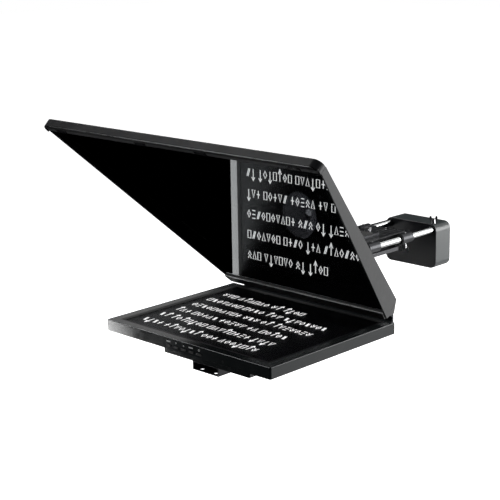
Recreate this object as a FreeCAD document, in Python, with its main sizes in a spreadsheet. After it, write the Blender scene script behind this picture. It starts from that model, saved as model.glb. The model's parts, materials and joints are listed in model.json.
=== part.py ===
import FreeCAD, Part
import math
import os
from types import SimpleNamespace

import Sketcher
from FreeCAD import Placement, Rotation, Vector

# Teleprompter: a flat monitor lies under a 45 degree beam-splitter hood. Both hang on twin rods
# that run through a grooved camera platform to a counterweight. Millimetres, +Z up, +X to the
# presenter's right, -Y towards the presenter. The origin is the mouth of the tripod thread.

SIZES = {
    # rods and camera platform
    "rod_dia": 15.0,
    "rod_bore": 11.0,
    "rod_offset": 55.0,
    "rod_level": 20.7,
    "rod_front": -130.0,
    "rod_rear": 220.0,
    "base_half_width": 60.0,
    "base_half_length": 60.0,
    "base_thick": 8.0,
    "platform_half_width": 43.0,
    "platform_bottom": 16.0,
    "platform_top": 30.0,
    "platform_front": -50.0,
    "platform_rear": 100.0,
    "groove_depth": 3.0,
    "slot_half_neck": 5.0,
    "slot_half_tee": 8.4,
    "slot_floor": 22.4,
    "bracket_length": 34.0,
    "front_bracket_front": -42.0,
    "rear_bracket_front": 66.0,
    "collar_radius": 11.5,
    "bush_wall": 1.0,
    "running_gap": 0.05,
    "free_gap": 0.3,
    "tripod_thread_radius": 4.0,
    "small_thread_radius": 2.55,
    "small_thread_offset": 22.0,
    "bolt_radius": 2.5,
    "bolt_head_radius": 4.2,
    # camera slide
    "slide_half_width": 26.0,
    "slide_front": -32.0,
    "slide_rear": 40.0,
    "slide_thick": 6.0,
    "camera_pad_thick": 1.5,
    "camera_screw_radius": 3.1,
    # monitor
    "monitor_width": 430.0,
    "monitor_depth": 343.5,
    "monitor_rim": 21.9,
    "monitor_back": -150.0,
    "monitor_top": -75.0,
    "monitor_wall": 2.5,
    "bezel_lip": 1.8,
    "bezel_slope": 8.0,
    "screen_width": 376.3,
    "screen_depth": 301.1,
    "screen_front_margin": 25.0,
    "chassis_half_width": 113.3,
    "chassis_setback": 52.3,
    "chassis_rear": -60.0,
    "chassis_depth": 34.6,
    "button_pitch": 20.0,
    "button_width": 12.0,
    "button_height": 3.6,
    "button_drop": 15.0,
    "button_travel": 0.8,
    "window_offset": 100.0,
    # support
    "channel_half_width": 34.0,
    "channel_height": 16.5,
    "channel_wall": 2.0,
    "riser_front": 30.0,
    "riser_thick": 8.0,
    "riser_half_width": 40.0,
    "riser_head_half_width": 68.0,
    "riser_head_front": 26.0,
    "riser_head_length": 28.0,
    "hinge_plate_front": 13.0,
    "hinge_plate_thick": 4.0,
    "hinge_plate_top": 14.0,
    "hinge_plate_bottom": -22.0,
    "hinge_half_span": 197.0,
    "pivot_back": -2.0,
    "pivot_up": 32.0,
    "pivot_radius": 4.0,
    # hood
    "glass_tilt": 45.0,
    "frame_half_bottom": 206.0,
    "frame_slope": 0.2877,
    "frame_foot": 17.0,
    "frame_ledge": 39.0,
    "frame_under_rail": 503.0,
    "frame_top": 522.6,
    "frame_corner_radius": 14.5,
    "web_thick": 3.0,
    "glass_front": 2.1,
    "glass_thick": 3.0,
    "lip_front": 7.0,
    "lens_level": 181.0,
    "lens_back": -32.0,
    "lens_radius": 46.0,
    "lens_plate_half": 58.0,
    # counterweight
    "weight_half_width": 67.2,
    "weight_height": 96.0,
    "weight_top": 33.0,
    "weight_front": 175.0,
    "weight_length": 51.7,
    "weight_corner": 15.0,
    "weight_cover": 2.5,
}


class Dim:
    """A size in millimetres together with the sheet expression that gives it."""

    def __init__(self, value, text):
        self.value = value
        self.text = text

    def _with(self, other, sign, work):
        other = dim(other)
        return Dim(work(self.value, other.value), f"({self.text} {sign} {other.text})")

    def __add__(self, other):
        return self._with(other, "+", lambda a, b: a + b)

    def __sub__(self, other):
        return self._with(other, "-", lambda a, b: a - b)

    def __mul__(self, other):
        return self._with(other, "*", lambda a, b: a * b)

    def __truediv__(self, other):
        return self._with(other, "/", lambda a, b: a / b)

    def __neg__(self):
        return Dim(-self.value, f"(0 - {self.text})")

    __radd__ = __add__
    __rmul__ = __mul__

    def __rsub__(self, other):
        return dim(other) - self


def dim(value):
    """The value as a Dim: a bare number stays a plain number in its expression."""
    return value if isinstance(value, Dim) else Dim(float(value), f"({float(value)})")


def make_sheet(document):
    """Writes the driving sizes into the sheet and returns them as Dims."""
    sheet = document.addObject("Spreadsheet::Sheet", "Sizes")
    dims = {}
    for row, (alias, value) in enumerate(SIZES.items(), start=1):
        sheet.set(f"A{row}", alias)
        sheet.set(f"B{row}", str(value))
        sheet.setAlias(f"B{row}", alias)
        dims[alias] = Dim(value, f"Sizes.{alias}")
    return SimpleNamespace(**dims)


doc = FreeCAD.newDocument("Teleprompter")
d = make_sheet(doc)
doc.recompute()
parts = {}


def add_part(obj, label):
    """Registers a finished sub-part under its label."""
    obj.Label = label
    parts[label] = obj
    return obj


def bind(obj, prop, size):
    obj.setExpression(prop, dim(size).text)


def at(obj, x, y, z):
    """Places an object, bound to the sheet."""
    obj.Placement.Base = Vector(dim(x).value, dim(y).value, dim(z).value)
    for axis, size in zip("xyz", (x, y, z)):
        bind(obj, f"Placement.Base.{axis}", size)
    return obj


# ---- sketches and PartDesign features ---------------------------------------------------------

PLANE_SIGN = {"XY_Plane": 1, "XZ_Plane": -1, "YZ_Plane": 1}


def new_body(label):
    body = doc.addObject("PartDesign::Body", label + "_body")
    return add_part(body, label)


def new_sketch(body, plane, offset):
    """A sketch on one of the body's own origin planes, moved to offset along the plane's axis."""
    sketch = body.newObject("Sketcher::SketchObject", "sketch")
    origin_plane = next(o for o in body.Origin.OriginFeatures if o.Role == plane)
    sketch.AttachmentSupport = [(origin_plane, "")]
    sketch.MapMode = "FlatFace"
    bind(sketch, "AttachmentOffset.Base.z", dim(offset) * PLANE_SIGN[plane])
    return sketch


def pin_point(sketch, index, position, point):
    """Fixes one sketch point at a place bound to the sheet."""
    for kind, size in zip(("DistanceX", "DistanceY"), point):
        size = dim(size)
        constraint = Sketcher.Constraint(kind, -1, 1, index, position, size.value)
        number = sketch.addConstraint(constraint)
        sketch.setExpression(f"Constraints[{number}]", size.text)


def draw_outline(sketch, points):
    """A closed outline of straight lines."""
    first = sketch.GeometryCount
    ends = [Vector(dim(x).value, dim(y).value, 0) for x, y in points]
    for start, end in zip(ends, ends[1:] + ends[:1]):
        sketch.addGeometry(Part.LineSegment(start, end), False)
    count = len(points)
    for i in range(count):
        after = first + (i + 1) % count
        sketch.addConstraint(Sketcher.Constraint("Coincident", first + i, 2, after, 1))
    for i, point in enumerate(points):
        pin_point(sketch, first + i, 1, point)


def draw_circle(sketch, x, y, radius):
    centre = Vector(dim(x).value, dim(y).value, 0)
    circle = Part.Circle(centre, Vector(0, 0, 1), dim(radius).value)
    index = sketch.addGeometry(circle, False)
    pin_point(sketch, index, 3, (x, y))
    number = sketch.addConstraint(Sketcher.Constraint("Radius", index, dim(radius).value))
    bind(sketch, f"Constraints[{number}]", radius)


def profile(body, plane, offset, outlines, circles):
    sketch = new_sketch(body, plane, offset)
    for points in outlines:
        draw_outline(sketch, points)
    for x, y, radius in circles:
        draw_circle(sketch, x, y, radius)
    return sketch


def pad(body, plane, start, length, outlines=(), circles=()):
    """Adds material from start, length along the positive axis normal to the plane."""
    feature_sketch = profile(body, plane, start, outlines, circles)
    feature = body.newObject("PartDesign::Pad", "pad")
    feature.Profile = feature_sketch
    bind(feature, "Length", length)
    feature.Reversed = PLANE_SIGN[plane] < 0
    doc.recompute()
    return feature


def pocket(body, plane, start, length, outlines=(), circles=()):
    """Removes material from start, length along the positive axis normal to the plane."""
    before = body.Shape.Volume
    feature_sketch = profile(body, plane, start, outlines, circles)
    feature = body.newObject("PartDesign::Pocket", "pocket")
    feature.Profile = feature_sketch
    bind(feature, "Length", length)
    feature.Reversed = PLANE_SIGN[plane] > 0
    doc.recompute()
    if body.Shape.Volume >= before - 1e-3:
        raise RuntimeError(f"a pocket in {body.Label} removes nothing")
    return feature


def tapered_pocket(body, low, low_outline, high, high_outline):
    """Removes the straight-sided loft between two outlines on horizontal planes."""
    low_sketch = profile(body, "XY_Plane", low, [low_outline], ())
    high_sketch = profile(body, "XY_Plane", high, [high_outline], ())
    feature = body.newObject("PartDesign::SubtractiveLoft", "taper")
    feature.Profile = high_sketch
    feature.Sections = [low_sketch]
    feature.Ruled = True
    doc.recompute()


def round_edges(body, radius, chosen, kind="PartDesign::Fillet"):
    """Rounds or chamfers those edges of the body for which chosen(edge) is true."""
    tip = body.Tip
    edges = enumerate(tip.Shape.Edges, start=1)
    names = [f"Edge{i}" for i, edge in edges if chosen(edge)]
    if not names:
        raise RuntimeError(f"{body.Label} has no such edge")
    feature = body.newObject(kind, "rounding")
    feature.Base = (tip, names)
    bind(feature, "Radius" if kind.endswith("Fillet") else "Size", radius)
    doc.recompute()
    if feature.Shape.isNull():
        raise RuntimeError(f"the edges of {body.Label} cannot take radius {dim(radius).value}")
    return feature


def runs_along(edge, axis):
    """True for a straight edge that runs along the axis vector."""
    if len(edge.Vertexes) != 2 or not isinstance(edge.Curve, Part.Line):
        return False
    run = edge.Vertexes[1].Point - edge.Vertexes[0].Point
    return abs(run.normalize().dot(axis)) > 0.999


X_AXIS, Y_AXIS, Z_AXIS = Vector(1, 0, 0), Vector(0, 1, 0), Vector(0, 0, 1)


def rectangle(x_low, x_high, y_low, y_high):
    return [(x_low, y_low), (x_high, y_low), (x_high, y_high), (x_low, y_high)]


def mirrored(points):
    """The outline made of these points and their mirror image in the vertical axis."""
    return list(points) + [(-dim(x), y) for x, y in reversed(points)]


# ---- primitives and booleans ------------------------------------------------------------------


def box(x, y, z, length, width, height):
    """A block with its low corner at x, y, z."""
    obj = doc.addObject("Part::Box", "block")
    for prop, size in (("Length", length), ("Width", width), ("Height", height)):
        bind(obj, prop, size)
    return at(obj, x, y, z)


def cylinder(x, y, z, radius, length, axis="z"):
    """A cylinder that starts at x, y, z and runs along the positive axis."""
    obj = doc.addObject("Part::Cylinder", "round")
    bind(obj, "Radius", radius)
    bind(obj, "Height", length)
    turns = {"z": Rotation(), "y": Rotation(X_AXIS, -90), "x": Rotation(Y_AXIS, 90)}
    obj.Placement = Placement(Vector(), turns[axis])
    return at(obj, x, y, z)


def fuse(label, shapes):
    obj = doc.addObject("Part::MultiFuse", label + "_solid")
    obj.Shapes = shapes
    obj.Refine = True
    return add_part(obj, label)


def join(shapes):
    obj = doc.addObject("Part::MultiFuse", "joined")
    obj.Shapes = shapes
    return obj


def cut(label, base, tools):
    obj = doc.addObject("Part::Cut", label + "_solid")
    obj.Base = base
    obj.Tool = tools[0] if len(tools) == 1 else join(tools)
    obj.Refine = True
    return add_part(obj, label)


def group(label, objects):
    """Several separate solids of the same kind in one sub-part."""
    obj = doc.addObject("Part::Compound", label + "_group")
    obj.Links = objects
    return add_part(obj, label)


def solid(label, shape):
    """A sub-part whose oblique faces are worked out from the sheet's values."""
    obj = doc.addObject("Part::Feature", label + "_solid")
    obj.Shape = shape
    return add_part(obj, label)


def slab(points, thickness):
    """A flat polygon given by its corners, thickened by the vector."""
    obj = doc.addObject("Part::Feature", "slab")
    obj.Shape = Part.Face(Part.makePolygon(points + points[:1])).extrude(thickness)
    return obj


def pan_screw(x, y, z, radius, length, down=1):
    """A pan-head screw along Z: its head lies below z when down is 1, and above when -1."""
    head_radius = dim(radius) * 1.9
    head_height = dim(radius) * 1.1
    head = cylinder(x, y, z if down < 0 else dim(z) - head_height, head_radius, head_height)
    shank = cylinder(x, y, z if down > 0 else dim(z) - length, radius, length)
    socket_start = dim(z) - head_height if down > 0 else dim(z) + head_height / 2
    socket = cylinder(x, y, socket_start, dim(radius) * 0.8, head_height / 2)
    screw = doc.addObject("Part::Cut", "screw")
    screw.Base = join([head, shank])
    screw.Tool = socket
    return screw


# ---- base and camera platform -----------------------------------------------------------------

BOLT_X = 30.0
BASE_BOLT_ROWS = (-25.0, 40.0)
REAR_BOLT_ROW = 83.0
BOLT_REACH = 22.0
BOLT_HEAD = 5.0


def make_base_plate():
    """Tripod plate with a raised bed for the platform, three threads and four bolt holes."""
    body = new_body("base_plate")
    wide, long = d.base_half_width, d.base_half_length
    pad(body, "XY_Plane", 0, d.base_thick, [rectangle(-wide, wide, -long, long)])
    bed_front = d.front_bracket_front + d.bracket_length
    bed = rectangle(-d.platform_half_width, d.platform_half_width, bed_front, long)
    pad(body, "XY_Plane", d.base_thick, d.platform_bottom - d.base_thick, [bed])
    threads = [(0, 0, d.tripod_thread_radius)]
    for side in (-1, 1):
        threads.append((0, d.small_thread_offset * side, d.small_thread_radius))
    pocket(body, "XY_Plane", 0, d.base_thick, circles=threads)
    for row in BASE_BOLT_ROWS:
        places = [(BOLT_X * side, row, d.bolt_radius) for side in (-1, 1)]
        pocket(body, "XY_Plane", 0, d.platform_bottom, circles=places)
        heads = [(x, y, d.bolt_head_radius + 0.3) for x, y, _ in places]
        pocket(body, "XY_Plane", 0, BOLT_HEAD, circles=heads)
    corners = (wide.value, long.value)
    round_edges(body, 6, lambda e: runs_along(e, Z_AXIS)
                and abs(abs(e.CenterOfMass.x) - corners[0]) < 0.1
                and abs(abs(e.CenterOfMass.y) - corners[1]) < 0.1)
    round_edges(body, 0.8, lambda e: e.BoundBox.ZMax < 0.01 and e.BoundBox.DiagonalLength > 20,
                "PartDesign::Chamfer")


def make_platform():
    """Extruded camera platform: a central tee slot and two shallow grooves on each side."""
    top, low = d.platform_top, d.platform_top - d.groove_depth
    wide = d.platform_half_width
    half = [(d.slot_half_tee, d.slot_floor), (d.slot_half_tee, low),
            (d.slot_half_neck, low), (d.slot_half_neck, top)]
    for groove in (17.0, 29.0):
        half += [(groove, top), (groove, low), (groove + 4.0, low), (groove + 4.0, top)]
    half += [(wide - 1.0, top), (wide, top - 1.0), (wide, d.platform_bottom)]
    body = new_body("camera_platform")
    length = d.platform_rear - d.platform_front
    pad(body, "XZ_Plane", d.platform_front, length, [mirrored(half)])
    places = [(BOLT_X * side, row, d.bolt_radius)
              for side in (-1, 1) for row in BASE_BOLT_ROWS + (REAR_BOLT_ROW,)]
    pocket(body, "XY_Plane", d.platform_bottom, BOLT_REACH - d.platform_bottom, circles=places)


def make_rod_bracket(label, front):
    """Cross-piece under the platform with a collar for each rod."""
    bar = box(-d.base_half_width + 5, front, d.base_thick + d.free_gap,
              (d.base_half_width - 5) * 2, d.bracket_length,
              d.platform_bottom - d.base_thick - d.free_gap)
    solids, holes = [bar], []
    for side in (-1, 1):
        x = d.rod_offset * side
        solids.append(cylinder(x, front, d.rod_level, d.collar_radius, d.bracket_length, "y"))
        bore = d.rod_dia / 2 + d.running_gap + d.bush_wall
        holes.append(cylinder(x, front - 1, d.rod_level, bore, d.bracket_length + 2, "y"))
        middle = front + d.bracket_length / 2
        holes.append(cylinder(x, middle, 0, 2.6, d.rod_level))
        holes.append(cylinder(x, middle, d.rod_level, 1.5, 20))
        holes.append(cylinder(x, middle, d.rod_level + d.collar_radius - 1, 3.3, 5))
    rows = [row for row in BASE_BOLT_ROWS + (REAR_BOLT_ROW,)
            if front.value < row < (front + d.bracket_length).value]
    for side in (-1, 1):
        for row in rows:
            holes.append(cylinder(BOLT_X * side, row, 0, d.bolt_radius, 20))
    cut(label, join(solids), holes)


def make_bushes():
    """Flanged plastic sleeves in which the rods slide."""
    inner = d.rod_dia / 2 + d.running_gap
    sleeves = []
    for front in (d.front_bracket_front, d.rear_bracket_front):
        for side in (-1, 1):
            x = d.rod_offset * side
            outside = join([
                cylinder(x, front, d.rod_level, inner + d.bush_wall, d.bracket_length, "y"),
                cylinder(x, front - 2, d.rod_level, d.collar_radius - 1.2, 2, "y")])
            hole = cylinder(x, front - 3, d.rod_level, inner, d.bracket_length + 4, "y")
            sleeve = doc.addObject("Part::Cut", "sleeve")
            sleeve.Base = outside
            sleeve.Tool = hole
            sleeves.append(sleeve)
    group("rod_bushes", sleeves)


def make_base_fasteners():
    """Bolts that hold the platform, and the small screws on top of the collars."""
    bolts = []
    for side in (-1, 1):
        for row in BASE_BOLT_ROWS:
            bolts.append((BOLT_X * side, row, BOLT_HEAD))
        bolts.append((BOLT_X * side, REAR_BOLT_ROW, d.base_thick + d.free_gap))
    shapes = []
    for x, y, seat in bolts:
        head = cylinder(x, y, dim(seat) - BOLT_HEAD + 0.4, d.bolt_head_radius, BOLT_HEAD - 0.4)
        shank = cylinder(x, y, seat, d.bolt_radius, BOLT_REACH - dim(seat))
        socket = cylinder(x, y, dim(seat) - BOLT_HEAD, d.bolt_radius, 2.6)
        bolt = doc.addObject("Part::Cut", "bolt")
        bolt.Base = join([head, shank])
        bolt.Tool = socket
        shapes.append(bolt)
    group("platform_bolts", shapes)
    seat = d.rod_level + d.collar_radius - 1
    screws = []
    for front in (d.front_bracket_front, d.rear_bracket_front):
        for side in (-1, 1):
            middle = front + d.bracket_length / 2
            screws.append(pan_screw(d.rod_offset * side, middle, seat, 1.45, 1.7, down=-1))
    group("collar_screws", screws)


def wing_screw(label, x, y, z, up, stem, reach):
    """A wing screw along Z. Its shoulder is at z, its wings on the side that up points to."""
    hub_height, wing_height, wing_half, thick = 9.0, 16.0, 8.5, 2.4
    hub = cylinder(x, y, z if up > 0 else dim(z) - hub_height, 4.4, hub_height)
    shank = cylinder(x, y, dim(z) - reach if up > 0 else z, stem, reach)
    ear = [(1.0, 3.0), (wing_half - 2, 6.0), (wing_half, 10.0), (wing_half, wing_height - 1.5),
           (wing_half - 1.5, wing_height), (wing_half - 4, wing_height), (2.5, 8.0), (1.0, 8.0)]
    solids = [hub, shank]
    for side in (-1, 1):
        points = [Vector(side * a, -thick / 2, up * b) for a, b in ear]
        wing = at(slab(points, Vector(0, thick, 0)), x, y, z)
        wing.Placement.Rotation = Rotation(Z_AXIS, 35)
        solids.append(wing)
    fuse(label, solids)


def make_clamp_wings():
    middle = d.rear_bracket_front + d.bracket_length / 2
    shoulder = d.base_thick
    tip = d.rod_level - d.rod_dia / 2 - d.running_gap - d.bush_wall - d.free_gap
    for name, side in (("clamp_wing_left", -1), ("clamp_wing_right", 1)):
        wing_screw(name, d.rod_offset * side, middle, shoulder, -1, 2.5, tip - shoulder)


# ---- camera slide -----------------------------------------------------------------------------

LOCK_Y = 30.0


def make_camera_slide():
    """Slide plate, its tee nut in the platform's slot, the rubber pad and the two screws."""
    bottom = d.platform_top + d.free_gap
    top = bottom + d.slide_thick
    wide = d.slide_half_width
    outline = [rectangle(-wide, wide, d.slide_front, d.slide_rear)]
    plate = new_body("camera_slide_plate")
    slot = [rectangle(-d.camera_screw_radius, d.camera_screw_radius, -18, 8)]
    pad(plate, "XY_Plane", bottom, d.slide_thick, outline)
    pocket(plate, "XY_Plane", bottom, d.slide_thick, slot)
    pocket(plate, "XY_Plane", bottom, 3.2, [rectangle(-7.4, 7.4, -22, 12)])
    pocket(plate, "XY_Plane", bottom, d.slide_thick, circles=[(0, LOCK_Y, 2.6)])
    round_edges(plate, 5, lambda e: runs_along(e, Z_AXIS) and abs(e.CenterOfMass.x) > 20)
    round_edges(plate, 1, lambda e: e.BoundBox.ZMin > top.value - 0.01
                and abs(e.CenterOfMass.x) + abs(e.CenterOfMass.y) > 20, "PartDesign::Chamfer")

    nut = new_body("tee_nut")
    low = d.slot_floor + d.free_gap
    neck = d.slot_half_neck - d.free_gap
    tee = d.slot_half_tee - d.free_gap
    shelf = d.platform_top - d.groove_depth - d.free_gap
    half = [(neck, bottom), (neck, shelf), (tee, shelf), (tee, low)]
    pad(nut, "XZ_Plane", 14, 24, [mirrored(half)])
    pocket(nut, "XY_Plane", low, bottom - low, circles=[(0, LOCK_Y, 2.6)])

    cushion = new_body("camera_pad")
    inset = 2.5
    cushion_outline = rectangle(-wide + inset, wide - inset, d.slide_front + inset, 20)
    hole = rectangle(-d.camera_screw_radius - 0.4, d.camera_screw_radius + 0.4, -18.3, 8.3)
    pad(cushion, "XY_Plane", top, d.camera_pad_thick, [cushion_outline, hole])

    head = cylinder(0, -5, bottom + 0.4, 7, 2.5)
    thread_start = top + d.camera_pad_thick + d.free_gap
    thread = cylinder(0, -5, thread_start, d.camera_screw_radius - 0.1, 4.6)
    neck = cylinder(0, -5, bottom + 2.9, d.camera_screw_radius - 0.5, thread_start - bottom - 2.9)
    groove = box(-7.5, -5.6, bottom + 0.4, 15, 1.2, 1)
    cut("camera_screw", join([head, neck, thread]), [groove])

    knob = cylinder(0, LOCK_Y, top + d.free_gap, 7, 7)
    waist = cylinder(0, LOCK_Y, top + d.free_gap, 2.5, 7)
    shank = cylinder(0, LOCK_Y, low, 2.5, top + d.free_gap - low)
    flutes = []
    for i in range(12):
        angle = math.radians(30 * i)
        flutes.append(cylinder(7.6 * math.cos(angle), LOCK_Y + 7.6 * math.sin(angle),
                               top + d.free_gap + 1.2, 1.2, 8))
    cut("slide_lock_knob", join([knob, waist, shank]), flutes)


# ---- rods and riser ---------------------------------------------------------------------------


def back(offset):
    """A place that many millimetres behind the monitor's back edge."""
    return d.monitor_back + offset


def above(offset):
    """A level that many millimetres above the monitor's top."""
    return d.monitor_top + offset


def make_rods():
    length = d.rod_rear - d.rod_front
    plugs = []
    for name, side in (("rod_left", -1), ("rod_right", 1)):
        x = d.rod_offset * side
        body = new_body(name)
        rings = [(x, d.rod_level, d.rod_dia / 2), (x, d.rod_level, d.rod_bore / 2)]
        pad(body, "XZ_Plane", d.rod_front, length, circles=rings)
        for start, flange in ((d.rod_front, -1.5), (d.rod_rear - 8, 8)):
            stem = cylinder(x, start, d.rod_level, d.rod_bore / 2 - 0.02, 8, "y")
            cap = cylinder(x, start + flange, d.rod_level, d.rod_dia / 2 - 0.4, 1.5, "y")
            plugs.append(join([stem, cap]))
    group("rod_plugs", plugs)


def make_riser():
    """Clamp head on the rods and the plate that hangs from it, with its two gussets."""
    wide, front = d.riser_head_half_width, back(d.riser_head_front)
    low, high = d.rod_level - 12, d.rod_level + 12
    head = new_body("riser_head")
    bores = [(d.rod_offset * side, d.rod_level, d.rod_dia / 2 + 0.02) for side in (-1, 1)]
    slot = 1.0
    outline = [(-wide, low), (wide, low), (wide, d.rod_level - slot),
               (d.rod_offset + 7.3, d.rod_level - slot), (d.rod_offset + 7.3, d.rod_level + slot),
               (wide, d.rod_level + slot), (wide, high), (-wide, high),
               (-wide, d.rod_level + slot), (-d.rod_offset - 7.3, d.rod_level + slot),
               (-d.rod_offset - 7.3, d.rod_level - slot), (-wide, d.rod_level - slot)]
    pad(head, "XZ_Plane", front, d.riser_head_length, [outline])
    pocket(head, "XZ_Plane", front, d.riser_head_length, circles=bores)
    window = rectangle(-38, 38, d.rod_level - 4, high - 4)
    pocket(head, "XZ_Plane", front + 8, d.riser_head_length - 8, [window])
    round_edges(head, 3, lambda e: runs_along(e, Y_AXIS) and abs(e.CenterOfMass.x) > wide.value - 0.1
                and abs(e.CenterOfMass.z - d.rod_level.value) > 5)

    plate = new_body("riser_plate")
    foot = above(-d.monitor_rim) - d.chassis_depth - d.channel_height
    waist = above(40)
    half = [(d.riser_half_width, foot), (d.riser_half_width, waist), (wide - 8, low)]
    pad(plate, "XZ_Plane", back(d.riser_front), d.riser_thick, [mirrored(half)])
    holes = [(0, above(55), 20), (0, above(-35), 12)]
    pocket(plate, "XZ_Plane", back(d.riser_front), d.riser_thick, circles=holes)
    floor = foot + d.channel_height
    corners = [(back(d.riser_front), floor), (back(d.riser_front - 55), floor),
               (back(d.riser_front), floor + 33)]
    for side in (-1, 1):
        pad(plate, "YZ_Plane", side * 28.0 - 2.0, 4, [corners])
    start = d.hinge_plate_front + d.hinge_plate_thick
    boss = rectangle(-36, 36, above(d.hinge_plate_bottom + 2), above(d.hinge_plate_top - 4))
    pad(plate, "XZ_Plane", back(start), d.riser_front - start, [boss])


def make_hinge_bracket():
    """Folded cross-plate behind the monitor with an ear at each end, and the hood's pivots."""
    span = d.hinge_half_span
    thick = d.hinge_plate_thick
    low, high = above(d.hinge_plate_bottom), above(d.hinge_plate_top)
    bracket = new_body("hinge_bracket")
    outline = rectangle(-span, span, low, high)
    pad(bracket, "XZ_Plane", back(d.hinge_plate_front), thick, [outline])
    stem_back = d.hinge_plate_front + thick
    ear = [(back(d.hinge_plate_front), low), (back(stem_back), low),
           (back(stem_back), above(24)), (back(d.pivot_back + 6.5), above(38.2)),
           (back(d.pivot_back), above(d.pivot_up + 9)),
           (back(d.pivot_back - 6.4), above(d.pivot_up + 6.4)),
           (back(d.pivot_back - 9), above(d.pivot_up)),
           (back(d.pivot_back - 6.4), above(d.pivot_up - 6.4)),
           (back(8), above(22)), (back(8), above(8)),
           (back(d.hinge_plate_front), above(4))]
    hole = [(back(d.pivot_back), above(d.pivot_up), d.pivot_radius)]
    for start in (-span, span - thick):
        pad(bracket, "YZ_Plane", start, thick, [ear])
        pocket(bracket, "YZ_Plane", start, thick, circles=hole)
    places = [(x, above(-4), 2.0) for x in (-26.0, -12.0, 12.0, 26.0)]
    pocket(bracket, "XZ_Plane", back(d.hinge_plate_front), thick, circles=places)

    pins, washers = [], []
    axis_place = (back(d.pivot_back), above(d.pivot_up))
    length = d.frame_half_bottom - 0.5 - (span - thick - 2.5)
    for side in (-1, 1):
        pin_from = span - thick - 2.5 if side > 0 else -d.frame_half_bottom + 0.5
        head_from = span - thick - 2.5 if side > 0 else -span + thick
        pins.append(join([cylinder(pin_from, *axis_place, d.pivot_radius, length, "x"),
                          cylinder(head_from, *axis_place, 6.5, 2.5, "x")]))
        washer_from = span if side > 0 else -span - 1.7
        washer = doc.addObject("Part::Cut", "washer")
        washer.Base = cylinder(washer_from, *axis_place, 8.5, 1.7, "x")
        washer.Tool = cylinder(washer_from, *axis_place, d.pivot_radius, 1.7, "x")
        washers.append(washer)
    group("pivot_pins", pins)
    group("friction_washers", washers)


CHANNEL_SCREW_ROWS = (10.0, 110.0, 200.0)


def make_channel():
    """Rectangular support channel under the monitor; returns the screws inside it."""
    wide, wall = d.channel_half_width, d.channel_wall
    top = above(-d.monitor_rim) - d.chassis_depth
    low = top - d.channel_height
    front = back(d.chassis_setback - d.monitor_depth)
    channel = new_body("support_channel")
    inside = rectangle(-wide + wall, wide - wall, low + wall, top - wall)
    pad(channel, "XZ_Plane", front, back(d.riser_front) - front,
        [rectangle(-wide, wide, low, top), inside])
    for row in CHANNEL_SCREW_ROWS:
        places = [(18.0 * side, front + row, 4.2) for side in (-1, 1)]
        pocket(channel, "XY_Plane", low, wall, circles=places)
        threads = [(x, y, 2.0) for x, y, _ in places]
        pocket(channel, "XY_Plane", top - wall, wall, circles=threads)
    return [pan_screw(18.0 * side, front + row, top - wall, 2.0, 6.0)
            for row in CHANNEL_SCREW_ROWS for side in (-1, 1)]


# ---- monitor ----------------------------------------------------------------------------------


def front_edge(offset):
    """A place that many millimetres behind the monitor's front face."""
    return d.monitor_back - d.monitor_depth + offset


BUTTONS = ("menu_button", "down_button", "up_button", "source_button", "power_button")


def button_x(index):
    return d.button_pitch * (index - 2)


def make_bezel():
    """Monitor frame: lip that slopes down to the screen, side walls and the front's openings."""
    half = d.monitor_width / 2
    wall = d.monitor_wall
    bezel = new_body("monitor_bezel")
    low = above(-d.monitor_rim)
    pad(bezel, "XY_Plane", low, d.monitor_rim, [rectangle(-half, half, front_edge(0), back(0))])
    inside = rectangle(-half + wall, half - wall, front_edge(wall), back(-wall))
    pocket(bezel, "XY_Plane", low, d.monitor_rim - d.bezel_lip, [inside])
    screen_front = front_edge(d.screen_front_margin)
    window = rectangle(-d.screen_width / 2, d.screen_width / 2, screen_front,
                       screen_front + d.screen_depth)
    pocket(bezel, "XY_Plane", above(-d.bezel_lip), d.bezel_lip, [window])
    spread = d.bezel_slope
    slope_top = rectangle(-d.screen_width / 2 - spread, d.screen_width / 2 + spread,
                          screen_front - spread, screen_front + d.screen_depth + spread)
    tapered_pocket(bezel, above(0.4 - d.bezel_lip), window, above(0), slope_top)
    level = above(-d.button_drop)
    for i in range(len(BUTTONS)):
        reach = d.button_width / 2 + d.free_gap
        rise = d.button_height / 2 + d.free_gap
        opening = rectangle(button_x(i) - reach, button_x(i) + reach, level - rise, level + rise)
        pocket(bezel, "XZ_Plane", front_edge(0), wall, [opening])
    pocket(bezel, "XZ_Plane", front_edge(0), wall, circles=[(d.window_offset, level, 2.0)])
    corner = half.value
    round_edges(bezel, 4, lambda e: runs_along(e, Z_AXIS) and abs(e.CenterOfMass.x) > corner - 0.1)
    round_edges(bezel, 1.0, lambda e: e.BoundBox.ZMin > above(0).value - 0.01
                and (abs(e.CenterOfMass.x) > corner - 5 or e.CenterOfMass.y > back(-5).value
                     or e.CenterOfMass.y < front_edge(5).value))


def make_screen():
    """Cover glass, panel module and the rails at its sides."""
    half = d.monitor_width / 2 - d.monitor_wall - 0.5
    glass = new_body("screen_glass")
    glass_low = above(-d.bezel_lip - 2.0)
    pad(glass, "XY_Plane", glass_low, 2.0, [rectangle(-half, half, front_edge(3), back(-3))])
    panel = new_body("panel_module")
    panel_thick = 12.0
    panel_half = d.screen_width / 2 + 8
    pad(panel, "XY_Plane", glass_low - panel_thick, panel_thick,
        [rectangle(-panel_half, panel_half, front_edge(13), back(-7))])
    rails = []
    for side in (-1, 1):
        start = panel_half + 0.3 if side > 0 else -panel_half - 0.3 - 12
        floor = above(-d.monitor_rim + 2)
        rail = doc.addObject("Part::Cut", "rail")
        rail.Base = box(start, front_edge(20), floor, 12, d.monitor_depth - 40, 13)
        inner = start - 1 if side > 0 else start + 2
        rail.Tool = box(inner, front_edge(19), floor + 2, 11, d.monitor_depth - 38, 12)
        rails.append(rail)
    group("panel_rails", rails)


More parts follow.
